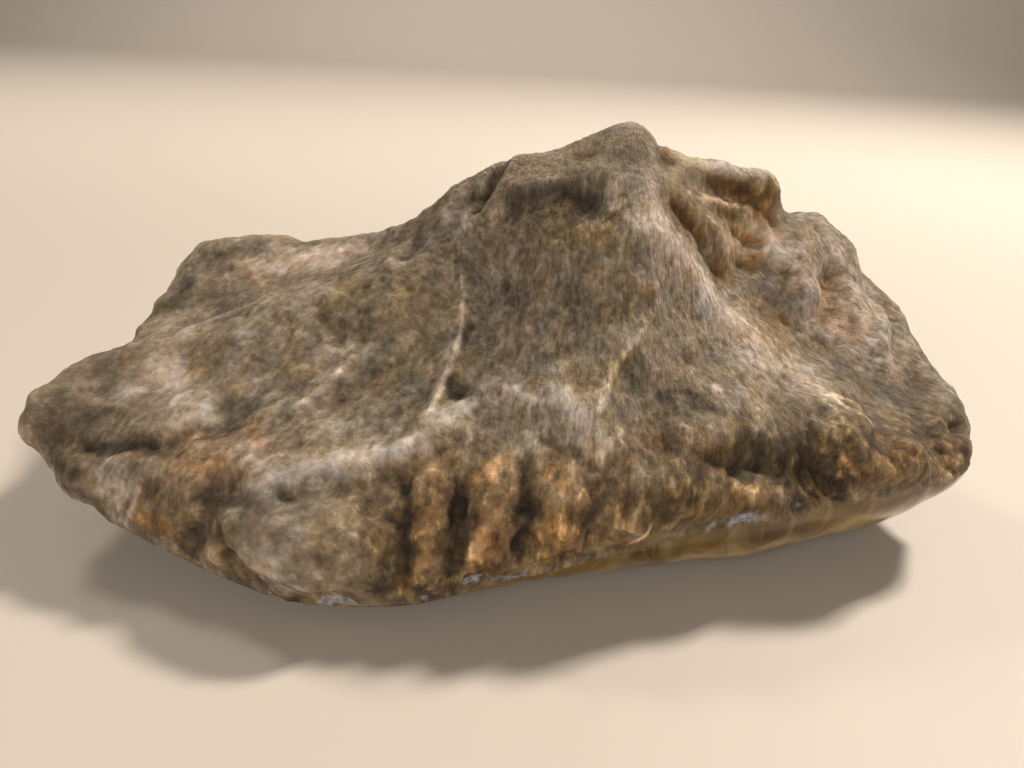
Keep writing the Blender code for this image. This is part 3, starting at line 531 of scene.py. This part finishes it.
class Nodes:
    """Adds nodes to one tree."""

    def __init__(self, tree):
        self.tree = tree

    def node(self, kind, settings=None, inputs=None):
        """A node of a kind: its settings first, then the values or wires of its sockets."""
        node = self.tree.nodes.new(kind)
        for name, value in (settings or {}).items():
            setattr(node, name, value)
        for name, value in (inputs or {}).items():
            join(self.tree, node.inputs[name], value)
        return node

    def add(self, kind, settings=None, inputs=None, output=None):
        """The wire from one output of a new node: the named one, or else the first in use."""
        node = self.node(kind, settings, inputs)
        used = [o for o in node.outputs if o.enabled and output in (None, o.name)]
        return Wire(self.tree, used[0])

    def combine(self, x, y, z):
        return self.add("ShaderNodeCombineXYZ", None, {0: x, 1: y, 2: z})

    def split(self, vector):
        node = self.node("ShaderNodeSeparateXYZ", None, {0: vector})
        return [Wire(self.tree, o) for o in node.outputs]

    def vector(self, operation, a, b=None, scale=None):
        inputs = {0: a}
        if b is not None:
            inputs[1] = b
        if scale is not None:
            inputs["Scale"] = scale
        return self.add("ShaderNodeVectorMath", {"operation": operation}, inputs)

    def mix(self, share, a, b):
        node = self.node("ShaderNodeMix", {"data_type": "RGBA"}, {0: share, 6: a, 7: b})
        return Wire(self.tree, node.outputs[2])

    def noise(self, at, size, detail, roughness):
        """Cloudy noise, 0 to 1 with most of it near 0.5, whose patches are about a size in millimetres."""
        values = {"Vector": at, "Scale": 1 / (size * MM), "Detail": detail, "Roughness": roughness}
        return self.add("ShaderNodeTexNoise", None, values, "Fac")

    def fanned(self, at):
        """Places that change slowly along the coral's fibres, which fan out, and fast across them."""
        x, y, _ = self.split(at)
        x = x - (FAN_CENTRE[0] - STONE_SHIFT[0]) * MM
        shift = (x * -1.0).rise(0.0, FAN_SHIFT_WIDTH * MM) * FAN_SHIFT * MM
        y = y - (FAN_CENTRE[1] - STONE_SHIFT[1]) * MM - shift
        across = self.vector("NORMALIZE", self.combine(x, y, FAN_EYE * MM))
        wide = self.vector("SCALE", across, scale=FAN_REACH * MM)
        slow = self.vector("SCALE", at, scale=FAN_ALONG)
        return self.vector("ADD", wide, slow)


def near(points, knots, reach):
    """1 on the line through the knots and less further off, for each point."""
    knots = np.array(knots, float)
    low, high = knots.min(0) - NEAR_LIMIT * reach, knots.max(0) + NEAR_LIMIT * reach
    inside = np.flatnonzero(((points > low) & (points < high)).all(1))
    places = points[inside]
    nearest = np.full(len(places), np.inf)
    for start, end in zip(knots, knots[1:] if len(knots) > 1 else knots):
        line = end - start
        along = np.clip((places - start) @ line / max(line @ line, 1e-9), 0.0, 1.0)
        nearest = np.minimum(nearest, ((places - start - along[:, None] * line) ** 2).sum(1))
    share = np.zeros(len(points))
    share[inside] = np.exp(-nearest / reach**2)
    return share


def tone(points, patches):
    """How much of a tone each point has: the strongest of the patches that it is in."""
    share = np.zeros(len(points))
    for knots, reach, strength in patches:
        share = np.maximum(share, strength * near(points, knots, reach))
    return share


def swell(points, size, seed):
    """Smooth random swell about -1 to 1, whose humps are about a size in millimetres across."""
    chance = np.random.default_rng(seed)
    total = np.zeros(len(points))
    for _ in range(SWELL_WAVES):
        direction = chance.normal(size=3)
        direction *= chance.uniform(*SWELL_SPREAD) * np.pi / size / np.linalg.norm(direction)
        total += np.sin(points @ direction + chance.uniform(0.0, 2 * np.pi))
    return total * SWELL_GAIN / math.sqrt(SWELL_WAVES / 2)


def wander(points):
    """The points, each moved a little, so that what is drawn on the stone gets uneven edges."""
    moved = points.copy()
    for axis in range(3):
        for step, (reach, size) in enumerate(WANDER):
            moved[:, axis] += reach * swell(points, size, axis + 3 * step)
    return moved


def scattered(points, seed, count, reach, strength):
    """Random patches of a tone on the far side, as knots, reach and strength."""
    chance = np.random.default_rng(seed)
    places = points[points[:, 1] > FAR_FROM]
    patches = []
    for start in places[chance.integers(0, len(places), count)]:
        end = start + chance.normal(size=3) * reach
        width = chance.uniform(*SCATTERED_REACH) * reach
        patches.append(([start, end], width, chance.uniform(*SCATTERED_STRENGTH) * strength))
    return patches


def far_gaps(points):
    """1 in the middle of the gaps between the corallites of the far side, and less beside them."""
    x, y, z = points.T
    back = np.array(BACK_RIM, float)
    above = z - np.interp(x, back[:, 0], back[:, 2])
    bend, size = FAR_GAP_BEND
    x = x + bend * swell(points, size, FAR_SEED)
    share = sum(np.exp(-(((x - gap) / FAR_GAP_WIDTH) ** 2)) for gap in FAR_GAPS)
    share *= smooth_step(y, FAR_FROM, FAR_FROM + FAR_FADE) * smooth_step(above, *FAR_FOOT)
    share *= 1.0 - smooth_step(above, *FAR_TOP)
    mean, spread, size = FAR_GAP_SHARE
    return share * np.clip(mean + spread * swell(points, size, FAR_SEED + 1), *FAR_GAP_LIMITS)


def smooth_step(values, low, high):
    """0 below low, 1 above high, and a smooth slope between them."""
    t = np.clip((values - low) / (high - low), 0.0, 1.0)
    return t * t * (3 - 2 * t)


def polished_share(points):
    """1 on the polished underside and 0 on the rough side."""
    x, y, z = points.T
    front, back = np.array(FRONT_RIM, float), np.array(BACK_RIM, float)
    front_y, front_z = (np.interp(x, front[:, 0], front[:, i]) for i in (1, 2))
    back_y, back_z = (np.interp(x, back[:, 0], back[:, i]) for i in (1, 2))
    across = np.clip((y - front_y) / np.maximum(back_y - front_y, 1.0), 0.0, 1.0)
    rim = front_z + (back_z - front_z) * across
    return smooth_step(rim - z, *RIM_EDGE)


def read_points(mesh):
    """The mesh's points in the frame of the drawing, in millimetres."""
    points = np.empty(len(mesh.vertices) * 3)
    mesh.vertices.foreach_get("co", points)
    return points.reshape(-1, 3) / MM + STONE_SHIFT


def read_normals(mesh):
    """The normals at the mesh's points."""
    normals = np.empty(len(mesh.vertices) * 3)
    mesh.vertices.foreach_get("normal", normals)
    return normals.reshape(-1, 3)


def write_points(mesh, points):
    """Moves the mesh's points to places in the frame of the drawing."""
    mesh.vertices.foreach_set("co", ((points - STONE_SHIFT) * MM).ravel())
    mesh.update()


def store(mesh, name, values):
    """Keeps one number for each point on the mesh."""
    attribute = mesh.attributes.get(name) or mesh.attributes.new(name, "FLOAT", "POINT")
    attribute.data.foreach_set("value", np.ascontiguousarray(values, np.float32))


def hollows(mesh, rounds):
    """How far each point lies below its surroundings, in millimetres, after rounds of averaging."""
    ends = np.empty(len(mesh.edges) * 2, np.int32)
    mesh.edges.foreach_get("vertices", ends)
    a, b = ends.reshape(-1, 2).T
    count = len(mesh.vertices)
    links = np.bincount(a, minlength=count) + np.bincount(b, minlength=count)
    points = read_points(mesh)
    mean = points.copy()
    for _ in range(rounds):
        total = np.empty_like(mean)
        for axis in range(3):
            column = mean[:, axis]
            total[:, axis] = np.bincount(a, column[b], count) + np.bincount(b, column[a], count)
        mean = 0.5 * mean + 0.5 * total / links[:, None]
    return ((mean - points) * read_normals(mesh)).sum(1)


def apply_modifiers(obj):
    """Turns what the modifiers make into the object's own mesh."""
    graph = bpy.context.evaluated_depsgraph_get()
    mesh = bpy.data.meshes.new_from_object(obj.evaluated_get(graph))
    obj.modifiers.clear()
    old = obj.data
    obj.data = mesh
    bpy.data.meshes.remove(old)


def even_skin(node):
    """A closed, even, smoothed skin over a copy of the part's solid."""
    mesh = node.data.copy()
    shell = bmesh.new()
    shell.from_mesh(mesh)
    bmesh.ops.remove_doubles(shell, verts=shell.verts, dist=0.001 * MM)
    shell.to_mesh(mesh)
    shell.free()
    mesh.materials.clear()
    stone = bpy.data.objects.new("coral_stone", mesh)
    bpy.context.scene.collection.objects.link(stone)
    even = stone.modifiers.new("Even skin", "REMESH")
    even.mode = "VOXEL"
    even.voxel_size = SKIN_CELL
    soften = stone.modifiers.new("Soften", "SMOOTH")
    soften.factor = 0.5
    soften.iterations = SKIN_SMOOTHING
    apply_modifiers(stone)
    return stone


def carve(mesh):
    """Cuts and raises the small forms of the rough side."""
    points = read_points(mesh)
    normals = read_normals(mesh)
    height = np.zeros(len(points))
    for knots, reach, amount in CARVED:
        height += amount * near(points, knots, reach)
    height -= FAR_GAP_DEPTH * far_gaps(points)
    height *= 1 - polished_share(points)
    write_points(mesh, points + height[:, None] * normals)


def paint(mesh):
    """Keeps the tones of the skin on its points."""
    points = read_points(mesh)
    store(mesh, "polished", polished_share(points))
    store(mesh, "fibrous", 1.0 - tone(points, LUMPY))
    store(mesh, "vein", tone(points, VEINS))
    gaps = far_gaps(points)
    points = wander(points)
    for seed, (name, patches) in enumerate(TONES.items()):
        far = scattered(points, FAR_SEED + seed, *SCATTERED[name]) if name in SCATTERED else []
        share = tone(points, patches + far)
        store(mesh, name, np.maximum(share, FAR_GAP_DARK * gaps) if name == "dark" else share)


def weathering_tree(material):
    """Geometry Nodes: fibres, lumps, grain and pits all over the rough side."""
    tree = bpy.data.node_groups.new("Weathered coral", "GeometryNodeTree")
    face = tree.interface
    face.new_socket("Geometry", in_out="OUTPUT", socket_type="NodeSocketGeometry")
    face.new_socket("Geometry", in_out="INPUT", socket_type="NodeSocketGeometry")
    for name in WEATHERING:
        face.new_socket(name, in_out="INPUT", socket_type="NodeSocketFloat")
    nodes = Nodes(tree)
    inputs = tree.nodes.new("NodeGroupInput")
    size = {name: Wire(tree, inputs.outputs[name]) for name in WEATHERING}
    at = nodes.add("GeometryNodeInputPosition")

    def field(where, patch, detail):
        """Noise from -0.5 to 0.5 whose patches have a size."""
        values = {"Vector": where, "Scale": 1.0 / patch, "Detail": detail, "Roughness": RELIEF_ROUGHNESS}
        return nodes.add("ShaderNodeTexNoise", None, values, "Fac") - 0.5

    def stored(name):
        """What is kept under a name on the mesh's points."""
        kind = "GeometryNodeInputNamedAttribute"
        return nodes.add(kind, {"data_type": "FLOAT"}, {"Name": name}, "Attribute")

    fibres = field(nodes.fanned(at), size["Fibre width"], 3.0)
    lumps = field(at, size["Lump size"], 2.0)
    grain = field(at, size["Grain size"], 2.0)
    pitted = field(at, size["Pit spacing"] * PIT_GROUPS, 1.0).rise(*PIT_GROUP_EDGE)
    cell = {"Vector": at, "Scale": 1.0 / size["Pit spacing"], "Smoothness": PIT_SOFTNESS}
    cells = nodes.add("ShaderNodeTexVoronoi", {"feature": "SMOOTH_F1"}, cell, "Distance")
    pits = (1.0 - cells.rise(*PIT_EDGE)) * pitted
    height = fibres * size["Fibre depth"] * NOISE_GAIN * stored("fibrous")
    height = height + lumps * size["Lump height"] * NOISE_GAIN
    height = height + grain * size["Grain depth"] * NOISE_GAIN - pits * size["Pit depth"]
    earthy = stored("earthy")
    height = height * (PLAIN_RELIEF + earthy * EARTHY_RELIEF)
    upright = field(nodes.vector("MULTIPLY", at, (1.0, 1.0, TOOTH_STRETCH)), size["Tooth width"], 2.0)
    height = height + upright * earthy * size["Tooth height"] * NOISE_GAIN
    normal = nodes.add("GeometryNodeInputNormal")
    offset = nodes.vector("SCALE", normal, scale=height * (1.0 - stored("polished")))
    given = Wire(tree, inputs.outputs[0])
    moved = nodes.add("GeometryNodeSetPosition", None, {"Geometry": given, "Offset": offset})
    real = nodes.add("GeometryNodeRealizeInstances", None, {"Geometry": moved})
    finished = nodes.add("GeometryNodeSetMaterial", None, {"Geometry": real, "Material": material})
    outputs = tree.nodes.new("NodeGroupOutput")
    join(tree, outputs.inputs[0], finished)
    return tree


def weather(stone, material):
    """Applies the relief of the rough side."""
    tree = weathering_tree(material)
    skin = stone.modifiers.new("Weathering", "NODES")
    skin.node_group = tree
    for item in tree.interface.items_tree:
        if item.in_out == "INPUT" and item.name in WEATHERING:
            skin[item.identifier] = WEATHERING[item.name] * MM
    apply_modifiers(stone)


def colour(red, green, blue):
    """A linear colour from the 0 to 255 values that the eye sees."""
    values = [c / 255 for c in (red, green, blue)]
    return (*[((c + 0.055) / 1.055) ** 2.4 for c in values], 1.0)


def blend(nodes, share, shades):
    """A wire between two colours."""
    return nodes.mix(share, *[colour(*shade) for shade in shades])


def skin_colour(nodes, noise, mark):
    """The weathered skin's colour, and the fine relief that goes with it."""
    patterns = {name: noise[name] - 0.5 for name in ("mottle", "broad", "specks", "upright")}
    for name, left in LUMPY_FIBRES.items():
        patterns[name] = (noise[name] - 0.5) * (left + mark["fibrous"] * (1.0 - left))
    ragged = (noise["ragged"] - 0.5) * RAGGEDNESS + patterns["fibres"] * RAGGEDNESS

    def patch(name):
        """A tone's share, uneven as the skin is."""
        return (mark[name] * (PATCH_GAIN + ragged)).clamp()

    earthy = mark["earthy"]
    upright = patterns["upright"]
    # the hollow and dip shading brings painted shade and light into the lightness
    patterns.update({name: mark[name] for name in ("earthy", "hollow_shading", "dip_shading")})
    patterns.update({"pale": patch("pale"), "upright": upright * earthy})
    light = BASE_LIGHT
    for name, strength in LIGHTENING.items():
        light = light + patterns[name] * strength
    ramp = nodes.node("ShaderNodeValToRGB")
    while len(ramp.color_ramp.elements) < len(SKIN_COLOURS):
        ramp.color_ramp.elements.new(0.5)
    for element, (place, shade) in zip(ramp.color_ramp.elements, SKIN_COLOURS.items()):
        element.position = place
        element.color = colour(*shade)
    join(nodes.tree, ramp.inputs["Fac"], light.clamp())
    skin = Wire(nodes.tree, ramp.outputs["Color"])
    # darker where the dark tone is, its painted shade included
    skin = nodes.vector("SCALE", skin, scale=1.0 - patch("dark") * DARKENING)

    shares = {name: noise[name].rise(*edge) for name, (_, edge) in CLOUDS.items()}
    shares["yellowish"] = shares["yellowish"] * (1.0 - patch("pale") * PALE_WITHOUT_YELLOW)
    shares.update({name: patch(name) for name in ("olive", "pink", "rust_and_shade")})
    shares["earthy"] = earthy
    multiply = {"data_type": "RGBA", "blend_type": "MULTIPLY"}
    for name, (shade, strength) in TINTS.items():
        tinted = nodes.node("ShaderNodeMix", multiply, {0: 1.0, 6: skin, 7: shade})
        skin = nodes.mix(shares[name] * strength, skin, Wire(nodes.tree, tinted.outputs[2]))

    (pale_edge, paler), (dark_edge, darker) = PALE_FLECKS, DARK_FLECKS
    lit = earthy * (1.0 - patch("dark") * DARK_WITHOUT_FLECKS)
    flecks = upright.rise(*pale_edge) * lit * paler - (upright * -1.0).rise(*dark_edge) * earthy * darker
    vein = (mark["vein"] * (1.0 + ragged)).rise(*VEIN_EDGE)
    skin = nodes.vector("SCALE", skin, scale=1.0 + flecks + vein * VEIN_GAIN)
    chips = blend(nodes, noise["specks"].rise(*CHIP_BLEND), CHIP_COLOURS)
    skin = nodes.mix(patch("bluish").rise(*CHIP_EDGE) * CHIP_STRENGTH, skin, chips)
    patterns["specks"] = noise["specks"]
    fine, finer, speckled = (patterns[name] * share for name, share in BUMPS.items())
    return skin, fine + finer + speckled


def cut_colour(nodes, at, veil, streak):
    """The polished underside's colour: cut coral cells with pale walls and septa, and a painted reflection.
    """
    x, y, _ = nodes.split(at)
    bend = nodes.add("ShaderNodeTexNoise", None, {"Vector": at, "Scale": CELL_BEND_SCALE}, "Color")
    bent = nodes.vector("ADD", nodes.combine(x, y, 0.0), nodes.vector("SCALE", bend, scale=CELL_BEND))
    cell = {"Vector": bent, "Scale": 1 / (CORAL_CELL * MM), "Randomness": CELL_UNEVEN}
    flat = {"voronoi_dimensions": "2D", "feature": "DISTANCE_TO_EDGE"}
    edge = nodes.add("ShaderNodeTexVoronoi", flat, cell, "Distance")
    middle = nodes.node("ShaderNodeTexVoronoi", {**flat, "feature": "F1"}, cell)
    spoke = nodes.vector("SUBTRACT", bent, Wire(nodes.tree, middle.outputs["Position"]))
    spoke_x, spoke_y, _ = nodes.split(spoke)
    rays = (spoke_y.math("ARCTAN2", spoke_x) * SEPTA).math("SINE").rise(*SEPTA_EDGE)
    distance = Wire(nodes.tree, middle.outputs["Distance"])
    marks = {
        "septa": rays * distance.rise(*SEPTA_START), "walls": 1.0 - edge.rise(*WALL_EDGE),
        # the streak is a painted reflection of the floor
        "core": 1.0 - distance.rise(*CORE_EDGE), "streak": streak,
    }
    cut = blend(nodes, veil.rise(*CUT_BLEND), CUT_COLOURS)
    for name, (shade, strength) in CUT_MARKS.items():
        cut = nodes.mix(marks[name] * strength, cut, colour(*shade))
    return cut


def stone_material():
    """The stone's one material: weathered skin, and the polished underside."""
    material = bpy.data.materials.new("Weathered coral stone")
    material.use_nodes = True
    nodes = Nodes(material.node_tree)
    at = nodes.add("ShaderNodeTexCoord", None, None, "Object")
    mark = {
        name: nodes.add("ShaderNodeAttribute", {"attribute_name": name}, None, "Fac")
        for name in ("polished", "vein", "fibrous", *TONES, *HOLLOWS)
    }
    places = {name: nodes.vector("ADD", at, offset) for name, (offset, _) in CLOUDS.items()}
    places["upright"] = nodes.vector("MULTIPLY", at, (1.0, 1.0, UPRIGHT_STRETCH))
    places["fibres"] = places["fine fibres"] = nodes.fanned(at)
    noise = {name: nodes.noise(places.get(name, at), *kind) for name, kind in NOISES.items()}
    polished = mark["polished"]
    skin, relief = skin_colour(nodes, noise, mark)
    # the pale tone brings the painted reflection onto the cut face
    cut = cut_colour(nodes, at, noise["veil"], mark["pale"])
    dull = DULL + noise["specks"] * DULL_SPECKS
    bump = {"Strength": BUMP_STRENGTH, "Distance": BUMP_DEPTH, "Height": relief * (1.0 - polished)}
    values = {
        "Base Color": nodes.mix(polished, skin, cut), "Roughness": dull + polished * (CUT_ROUGHNESS - dull),
        "Coat Weight": polished * COAT, "Coat Roughness": COAT_ROUGHNESS,
        "Normal": nodes.add("ShaderNodeBump", None, bump),
    }
    shader = material.node_tree.nodes["Principled BSDF"]
    for name, value in values.items():
        join(material.node_tree, shader.inputs[name], value)
    return material


def coral():
    """The stone, in place of the part's solid."""
    material = stone_material()
    stone = even_skin(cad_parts["fossil_coral"])
    carve(stone.data)
    paint(stone.data)
    weather(stone, material)
    # depth below the surroundings, for the painted shade in hollows and light on ridges
    for name, (rounds, low, high) in HOLLOWS.items():
        store(stone.data, name, np.clip(hollows(stone.data, rounds), low, high))
    stone.data.shade_smooth()
    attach(stone, "root")
    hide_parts("fossil_coral")
    print("faces of the stone:", sum(len(p.vertices) - 2 for p in stone.data.polygons))


def stage():
    """Plain pale floor that curves up into a back wall."""
    profile = [(FLOOR_FRONT, 0.0), (FLOOR_BACK - BEND, 0.0)]
    for step in range(1, BEND_STEPS + 1):
        turn = step / BEND_STEPS * math.pi / 2
        profile.append((FLOOR_BACK - BEND + BEND * math.sin(turn), BEND - BEND * math.cos(turn)))
    profile.append((FLOOR_BACK, WALL_HEIGHT))
    points = [(side * FLOOR_WIDTH / 2, y, z) for y, z in profile for side in (-1, 1)]
    faces = [(2 * i, 2 * i + 1, 2 * i + 3, 2 * i + 2) for i in range(len(profile) - 1)]
    mesh = bpy.data.meshes.new("floor")
    mesh.from_pydata(points, [], faces)
    mesh.shade_smooth()
    floor = bpy.data.objects.new("floor", mesh)
    bpy.context.scene.collection.objects.link(floor)
    material = bpy.data.materials.new("Pale floor")
    material.use_nodes = True
    shader = material.node_tree.nodes["Principled BSDF"]
    shader.inputs["Base Color"].default_value = FLOOR_COLOUR
    shader.inputs["Roughness"].default_value = FLOOR_ROUGHNESS
    mesh.materials.append(material)


def soft_light(name, place, size, power, shade, aim=STONE_MIDDLE):
    """A square studio light at a place, in metres, that faces the stone or another aim."""
    lamp = bpy.data.lights.new(name, "AREA")
    lamp.size = size
    lamp.energy = power
    lamp.color = shade
    light = bpy.data.objects.new(name, lamp)
    light.location = place
    light.rotation_euler = (Vector(aim) - Vector(place)).to_track_quat("-Z", "Y").to_euler()
    bpy.context.scene.collection.objects.link(light)
    return lamp


def lights():
    """Studio lights from above, and soft light all round. Each has its place, size, power and colour."""
    soft_light("key", (0.38, 0.27, 0.55), 0.1, 5.8, WARM)
    soft_light("second", (-0.4, 0.3, 0.55), 0.12, 1.3, WARM)
    soft_light("fill", (-0.15, -0.75, 0.34), 0.5, 3.3, SOFT)
    # the floor behind the stone, which the others leave dark
    far = soft_light("far floor", (0.0, 0.6, 0.55), 1.2, 2.2, SOFT, aim=(0.0, 1.0, 0.0))
    far.spread = math.radians(110.0)
    world = bpy.data.worlds.new("Soft room light")
    bpy.context.scene.world = world
    world.use_nodes = True
    back = world.node_tree.nodes["Background"]
    back.inputs["Color"].default_value = ROOM_COLOUR
    back.inputs["Strength"].default_value = ROOM_LIGHT


def camera():
    """The camera that took the photograph."""
    lens = bpy.data.cameras.new("camera")
    lens.sensor_width = FILM_WIDTH
    lens.lens = FILM_WIDTH * FOCAL_PIXELS / PICTURE_WIDTH
    lens.clip_start = NEAREST
    eye = bpy.data.objects.new("camera", lens)
    place = Matrix.Translation((np.array(CAMERA_PLACE) - STONE_SHIFT) * MM)
    turn = Matrix.Rotation(math.radians(90.0 - LOOK_DOWN), 4, "X")
    lean = Matrix.Rotation(math.radians(LEAN), 4, "Z")
    eye.matrix_world = place @ turn @ lean
    bpy.context.scene.collection.objects.link(eye)
    bpy.context.scene.camera = eye


coral()
stage()
lights()
camera()
bpy.context.scene.view_settings.view_transform = "Standard"
